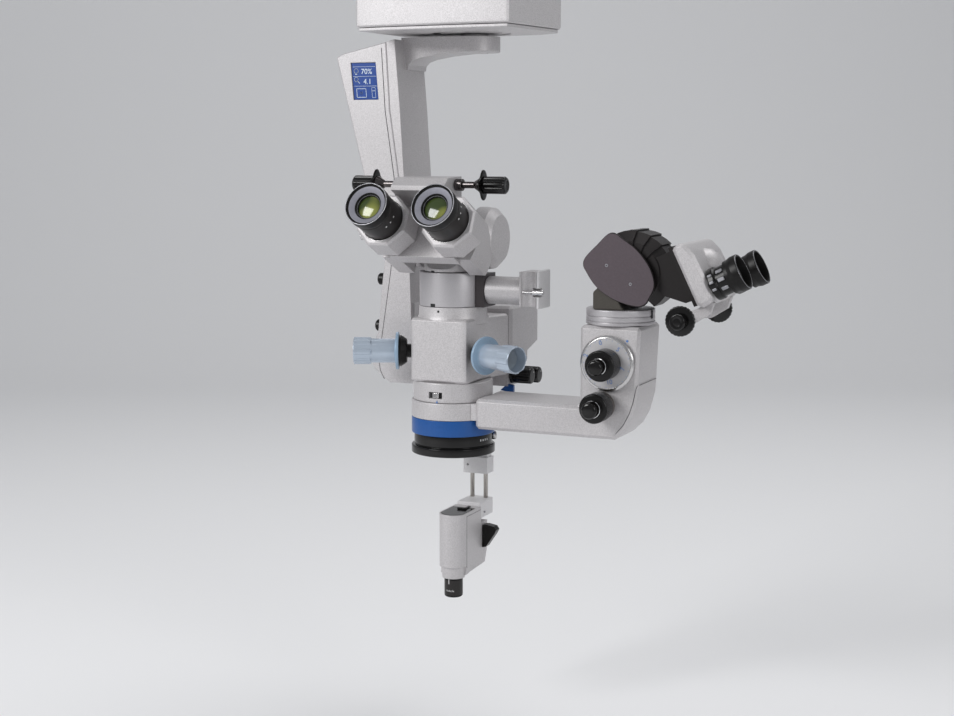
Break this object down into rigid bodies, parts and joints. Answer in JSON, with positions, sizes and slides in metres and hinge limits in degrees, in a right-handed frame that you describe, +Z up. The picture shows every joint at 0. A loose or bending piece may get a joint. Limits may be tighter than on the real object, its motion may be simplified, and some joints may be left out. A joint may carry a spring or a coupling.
{
  "type": "surgical microscope",
  "caption": "Head of a hanging surgical microscope: cross-slide, carrier arm, tilting body, binocular tube, folding co-observer tube and a swing-in viewing attachment.",
  "frame": {"origin": "centre of the top flange face, which the stand holds; the main optical axis runs down X = Y = 0", "axes": "+Z up, -Y towards the surgeon, +X towards the co-observer"},
  "size_m": [0.4475, 0.2487, 0.6764],
  "materials": {
    "coupling_housing": "silver-white fine speckled paint on a casting",
    "cross_slide": "grey anodised",
    "cross_plate": "silver-white fine speckled paint on a casting",
    "support_arm": "silver-white fine speckled paint on a casting",
    "column_cover": "silver-white fine speckled paint on a casting",
    "screen": "lit display",
    "focus_housing": "silver-white fine speckled paint on a casting",
    "focus_clamp": "black, fluted",
    "tilt_clamp": "black, fluted",
    "main_body": "silver-white fine speckled paint on a casting",
    "rear_housing": "silver-white fine speckled paint on a casting",
    "filter_block": "silver-white fine speckled paint on a casting",
    "filter_knob_front": "black, fluted",
    "filter_knob_rear": "black, fluted",
    "lower_ring": "silver-white fine speckled paint on a casting",
    "catch_slider": "bright",
    "blue_band": "gloss blue",
    "objective_ring": "black anodised",
    "objective_lens": "coated",
    "beam_splitter": "satin turned",
    "port_dovetail": "dark violet grey, matt",
    "port_tube": "satin turned",
    "port_plate": "smooth",
    "port_screw": "bright",
    "grip_left": "black, fluted",
    "grip_right": "black, fluted",
    "cap_left": "translucent light blue",
    "cap_right": "translucent light blue",
    "binocular_base": "silver-white fine speckled paint on a casting",
    "tilt_housing": "silver-white fine speckled paint on a casting",
    "tube_left": "silver-white fine speckled paint on a casting",
    "tube_right": "silver-white fine speckled paint on a casting",
    "eyepiece_left": "black anodised",
    "eyepiece_right": "black anodised",
    "eyecup_left": "black, fluted",
    "eyecup_right": "black, fluted",
    "pd_shaft": "black anodised",
    "co_ring": "silver-white fine speckled paint on a casting",
    "co_arm": "silver-white fine speckled paint on a casting",
    "co_dial": "satin turned",
    "co_dial_knob": "black, fluted",
    "co_focus_knob": "black, fluted",
    "co_turret": "silver-white fine speckled paint on a casting",
    "fold_base": "dark violet grey, matt",
    "fold_segment_1": "dark violet grey, matt",
    "fold_segment_2": "dark violet grey, matt",
    "fold_segment_3": "dark violet grey, matt",
    "fold_head": "dark violet grey, matt",
    "co_housing": "silver-white fine speckled paint on a casting",
    "co_tube_left": "black anodised",
    "co_tube_right": "black anodised",
    "co_eyecup_left": "black, fluted",
    "co_eyecup_right": "black, fluted",
    "co_pd_shaft": "bright",
    "viewer_bracket": "bright",
    "viewer_block": "smooth",
    "viewer_carrier": "smooth",
    "viewer_body": "silver-white fine speckled paint on a casting",
    "viewer_knob": "black, fluted",
    "viewer_lens": "black anodised"
  },
  "bodies": {
    "coupling": {"coupling_housing": "coupling_housing"},
    "cross_slide": {"cross_slide": "cross_slide"},
    "cross_plate": {"cross_plate": "cross_plate"},
    "arm": {"support_arm": "support_arm", "column_cover": "column_cover", "screen": "screen"},
    "focus_carrier": {"focus_housing": "focus_housing"},
    "focus_clamp": {"focus_clamp": "focus_clamp"},
    "tilt_clamp": {"tilt_clamp": "tilt_clamp"},
    "head": {"main_body": "main_body", "rear_housing": "rear_housing", "filter_block": "filter_block", "lower_ring": "lower_ring", "blue_band": "blue_band", "objective_ring": "objective_ring", "objective_lens": "objective_lens", "beam_splitter": "beam_splitter", "port_dovetail": "port_dovetail", "port_tube": "port_tube", "port_plate": "port_plate", "grip_left": "grip_left", "grip_right": "grip_right", "binocular_base": "binocular_base", "viewer_bracket": "viewer_bracket"},
    "catch": {"catch_slider": "catch_slider"},
    "filter_knob_front": {"filter_knob_front": "filter_knob_front"},
    "filter_knob_rear": {"filter_knob_rear": "filter_knob_rear"},
    "port_screw": {"port_screw": "port_screw"},
    "cap_left": {"cap_left": "cap_left"},
    "cap_right": {"cap_right": "cap_right"},
    "binocular_tilt": {"tilt_housing": "tilt_housing"},
    "eye_tube_left": {"tube_left": "tube_left", "eyepiece_left": "eyepiece_left"},
    "eye_tube_right": {"tube_right": "tube_right", "eyepiece_right": "eyepiece_right"},
    "eyecup_left": {"eyecup_left": "eyecup_left"},
    "eyecup_right": {"eyecup_right": "eyecup_right"},
    "pd_shaft": {"pd_shaft": "pd_shaft"},
    "co_arm": {"co_ring": "co_ring", "co_arm": "co_arm"},
    "co_dial": {"co_dial": "co_dial", "co_dial_knob": "co_dial_knob"},
    "co_focus_knob": {"co_focus_knob": "co_focus_knob"},
    "co_turret": {"co_turret": "co_turret", "fold_base": "fold_base"},
    "fold_segment_1": {"fold_segment_1": "fold_segment_1"},
    "fold_segment_2": {"fold_segment_2": "fold_segment_2"},
    "fold_segment_3": {"fold_segment_3": "fold_segment_3"},
    "fold_head": {"fold_head": "fold_head", "co_housing": "co_housing"},
    "co_eye_left": {"co_tube_left": "co_tube_left"},
    "co_eye_right": {"co_tube_right": "co_tube_right"},
    "co_eyecup_left": {"co_eyecup_left": "co_eyecup_left"},
    "co_eyecup_right": {"co_eyecup_right": "co_eyecup_right"},
    "co_pd_shaft": {"co_pd_shaft": "co_pd_shaft"},
    "viewer_swing": {"viewer_block": "viewer_block"},
    "viewer_slide": {"viewer_carrier": "viewer_carrier", "viewer_body": "viewer_body"},
    "viewer_knob": {"viewer_knob": "viewer_knob"},
    "viewer_lens": {"viewer_lens": "viewer_lens"}
  },
  "joints": [
    {"name": "cross_slide_y", "type": "slide", "parent": "coupling", "child": "cross_slide", "axis": [0, 1, 0], "range_m": [-0.01, 0.01]},
    {"name": "cross_slide_x", "type": "slide", "parent": "cross_slide", "child": "cross_plate", "axis": [1, 0, 0], "range_m": [-0.01, 0.01]},
    {"name": "arm_swivel", "type": "hinge", "parent": "cross_plate", "child": "arm", "pos_m": [0, 0.053, -0.109], "axis": [0, 0, 1], "range_deg": [-150, 150]},
    {"name": "focus_travel", "type": "slide", "parent": "arm", "child": "focus_carrier", "axis": [0, 0, 1], "range_m": [-0.04, 0]},
    {"name": "focus_clamp_turn", "type": "hinge", "parent": "focus_carrier", "child": "focus_clamp", "pos_m": [-0.083, 0.018, -0.3543], "axis": [1, 0, 0], "range_deg": [-90, 90]},
    {"name": "tilt_clamp_turn", "type": "hinge", "parent": "focus_carrier", "child": "tilt_clamp", "pos_m": [-0.0915, 0.028, -0.404], "axis": [1, 0, 0], "range_deg": [-90, 90]},
    {"name": "head_tilt", "type": "hinge", "parent": "focus_carrier", "child": "head", "pos_m": [0, 0.028, -0.404], "axis": [1, 0, 0], "range_deg": [-12, 20]},
    {"name": "catch_travel", "type": "slide", "parent": "head", "child": "catch", "axis": [1, 0, 0], "range_m": [-0.003, 0.003]},
    {"name": "filter_front_turn", "type": "hinge", "parent": "head", "child": "filter_knob_front", "pos_m": [0.038, 0.0625, -0.4528], "axis": [1, 0, 0], "continuous": true},
    {"name": "filter_rear_turn", "type": "hinge", "parent": "head", "child": "filter_knob_rear", "pos_m": [0.038, 0.0825, -0.4543], "axis": [1, 0, 0], "continuous": true},
    {"name": "port_screw_turn", "type": "hinge", "parent": "head", "child": "port_screw", "pos_m": [0.0871, -0.011, -0.3593], "axis": [1, 0, 0], "continuous": true},
    {"name": "cap_left_off", "type": "slide", "parent": "head", "child": "cap_left", "axis": [-0.9171, -0.3987, 0], "range_m": [0, 0.05]},
    {"name": "cap_right_off", "type": "slide", "parent": "head", "child": "cap_right", "axis": [0.9171, -0.3987, 0], "range_m": [0, 0.05]},
    {"name": "binocular_pitch", "type": "hinge", "parent": "head", "child": "binocular_tilt", "pos_m": [0, 0.002, -0.3083], "axis": [-1, 0, 0], "range_deg": [-5, 30]},
    {"name": "tube_left_shift", "type": "slide", "parent": "binocular_tilt", "child": "eye_tube_left", "axis": [1, 0, 0], "range_m": [-0.0029, 0.0073]},
    {"name": "tube_right_shift", "type": "slide", "parent": "binocular_tilt", "child": "eye_tube_right", "axis": [1, 0, 0], "range_m": [-0.0073, 0.0029]},
    {"name": "eyecup_left_turn", "type": "hinge", "parent": "eye_tube_left", "child": "eyecup_left", "pos_m": [-0.0347, -0.119, -0.2714], "axis": [0, -0.8988, 0.4384], "range_deg": [-150, 150]},
    {"name": "eyecup_right_turn", "type": "hinge", "parent": "eye_tube_right", "child": "eyecup_right", "pos_m": [0.0347, -0.119, -0.2714], "axis": [0, -0.8988, 0.4384], "range_deg": [-150, 150]},
    {"name": "pd_knob_turn", "type": "hinge", "parent": "binocular_tilt", "child": "pd_shaft", "pos_m": [0, -0.0535, -0.2546], "axis": [1, 0, 0], "range_deg": [-75, 195]},
    {"name": "co_arm_swing", "type": "hinge", "parent": "head", "child": "co_arm", "pos_m": [0, 0, -0.4704], "axis": [0, 0, 1], "range_deg": [-180, 20]},
    {"name": "co_dial_turn", "type": "hinge", "parent": "co_arm", "child": "co_dial", "pos_m": [0.176, -0.03025, -0.4214], "axis": [0, 1, 0], "range_deg": [-170, 170]},
    {"name": "co_focus_turn", "type": "hinge", "parent": "co_arm", "child": "co_focus_knob", "pos_m": [0.172, -0.03025, -0.4613], "axis": [0, 1, 0], "continuous": true},
    {"name": "co_turret_turn", "type": "hinge", "parent": "co_arm", "child": "co_turret", "pos_m": [0.1775, 0, -0.3713], "axis": [0, 0, 1], "range_deg": [-75, 75]},
    {"name": "fold_bend", "type": "hinge", "parent": "co_turret", "child": "fold_head", "pos_m": [0.196, 0, -0.3367], "axis": [0, 1, 0], "range_deg": [-25, 12]},
    {"name": "fold_segment_1_follow", "type": "hinge", "parent": "co_turret", "child": "fold_segment_1", "pos_m": [0.196, 0, -0.3367], "axis": [0, 1, 0], "range_deg": [-6.5, 3.25]},
    {"name": "fold_segment_2_follow", "type": "hinge", "parent": "co_turret", "child": "fold_segment_2", "pos_m": [0.196, 0, -0.3367], "axis": [0, 1, 0], "range_deg": [-12.75, 6.25]},
    {"name": "fold_segment_3_follow", "type": "hinge", "parent": "co_turret", "child": "fold_segment_3", "pos_m": [0.196, 0, -0.3367], "axis": [0, 1, 0], "range_deg": [-19, 9.25]},
    {"name": "co_eye_left_shift", "type": "slide", "parent": "fold_head", "child": "co_eye_left", "axis": [0, 1, 0], "range_m": [-0.0036, 0.0036]},
    {"name": "co_eye_right_shift", "type": "slide", "parent": "fold_head", "child": "co_eye_right", "axis": [0, 1, 0], "range_m": [-0.0036, 0.0036]},
    {"name": "co_eyecup_left_turn", "type": "hinge", "parent": "co_eye_left", "child": "co_eyecup_left", "pos_m": [0.2776, -0.033, -0.34363], "axis": [0.8988, 0, 0.4384], "range_deg": [-150, 150]},
    {"name": "co_eyecup_right_turn", "type": "hinge", "parent": "co_eye_right", "child": "co_eyecup_right", "pos_m": [0.2776, 0.033, -0.34363], "axis": [0.8988, 0, 0.4384], "range_deg": [-150, 150]},
    {"name": "co_pd_knob_turn", "type": "hinge", "parent": "fold_head", "child": "co_pd_shaft", "pos_m": [0.256, 0, -0.37464], "axis": [0, 1, 0], "range_deg": [-90, 90]},
    {"name": "viewer_swing_away", "type": "hinge", "parent": "head", "child": "viewer_swing", "pos_m": [0, 0.0625, -0.5354], "axis": [1, 0, 0], "range_deg": [0, 80]},
    {"name": "viewer_height", "type": "slide", "parent": "viewer_swing", "child": "viewer_slide", "axis": [0, 0, 1], "range_m": [0, 0.024]},
    {"name": "viewer_knob_turn", "type": "hinge", "parent": "viewer_slide", "child": "viewer_knob", "pos_m": [0.0144, 0.044, -0.6214], "axis": [1, 0, 0], "range_deg": [-90, 24]},
    {"name": "viewer_lens_focus", "type": "slide", "parent": "viewer_slide", "child": "viewer_lens", "axis": [0, 0, 1], "range_m": [-0.0045, 0.0013]}
  ],
  "couplings": [
    {"joint": "tube_left_shift", "follows": "pd_knob_turn", "m_per_rad": 0.00212},
    {"joint": "tube_right_shift", "follows": "pd_knob_turn", "m_per_rad": -0.00212},
    {"joint": "fold_segment_1_follow", "follows": "fold_bend", "ratio": 0.25},
    {"joint": "fold_segment_2_follow", "follows": "fold_bend", "ratio": 0.5},
    {"joint": "fold_segment_3_follow", "follows": "fold_bend", "ratio": 0.75},
    {"joint": "co_eye_left_shift", "follows": "co_pd_knob_turn", "m_per_rad": 0.0022},
    {"joint": "co_eye_right_shift", "follows": "co_pd_knob_turn", "m_per_rad": -0.0022},
    {"joint": "viewer_lens_focus", "follows": "viewer_knob_turn", "m_per_rad": 0.0028}
  ]
}
